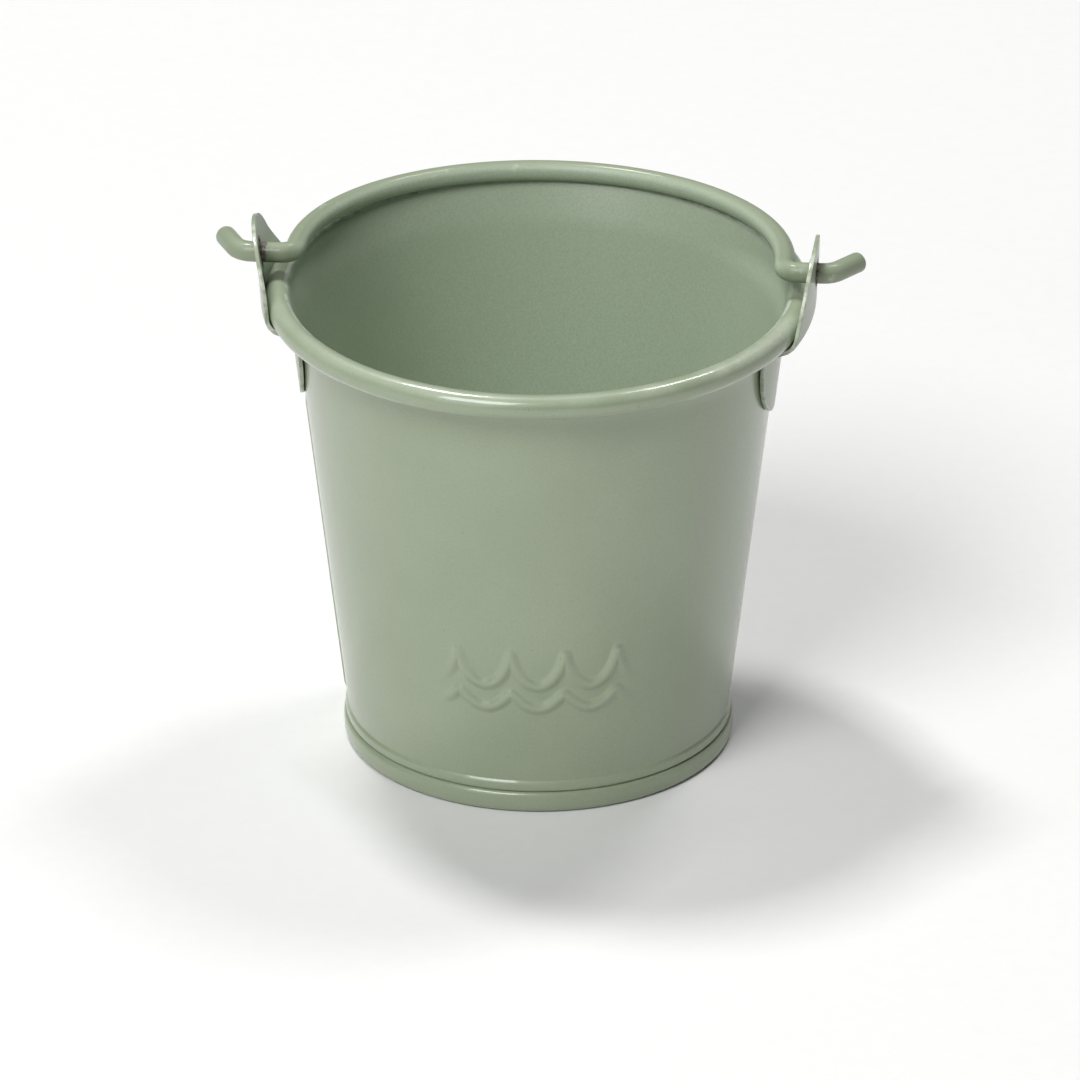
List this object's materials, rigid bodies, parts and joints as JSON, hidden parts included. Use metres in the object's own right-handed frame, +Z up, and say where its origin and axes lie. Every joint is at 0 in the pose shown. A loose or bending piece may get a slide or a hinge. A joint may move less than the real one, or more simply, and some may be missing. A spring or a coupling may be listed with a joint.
{
  "type": "sand bucket",
  "caption": "Small painted sheet-steel sand bucket: tapered round body with a rolled rim, a folded-on bottom, curved ears and a swinging wire bail with hooked ends.",
  "frame": {"origin": "centre of the base, on the plane that the bucket stands on", "axes": "+Z up along the bucket's axis; +X through the right ear and along the bail's pivot axis; the bail lies back on the rim towards +Y"},
  "size_m": [0.072, 0.06, 0.0605],
  "materials": {
    "body_enamel": "semi-gloss sage green enamel with a fine orange peel",
    "ear_enamel": "semi-gloss sage green enamel, worn at the hole and the edges",
    "bail_enamel": "semi-gloss sage green enamel on wire, worn at the ears and hooks",
    "bare_steel": "dull drawn wire, hidden inside the rolled rim"
  },
  "bodies": {
    "bucket": {"body_shell": "body_enamel", "bottom_pan": "body_enamel", "ear_right": "ear_enamel", "ear_left": "ear_enamel", "rim_wire": "bare_steel"},
    "bail": {"bail_handle": "bail_enamel"}
  },
  "joints": [
    {"name": "bail_swing", "type": "hinge", "parent": "bucket", "child": "bail", "pos_m": [0, 0, 0.05684], "axis": [1, 0, 0], "range_deg": [0, 186.1]}
  ]
}
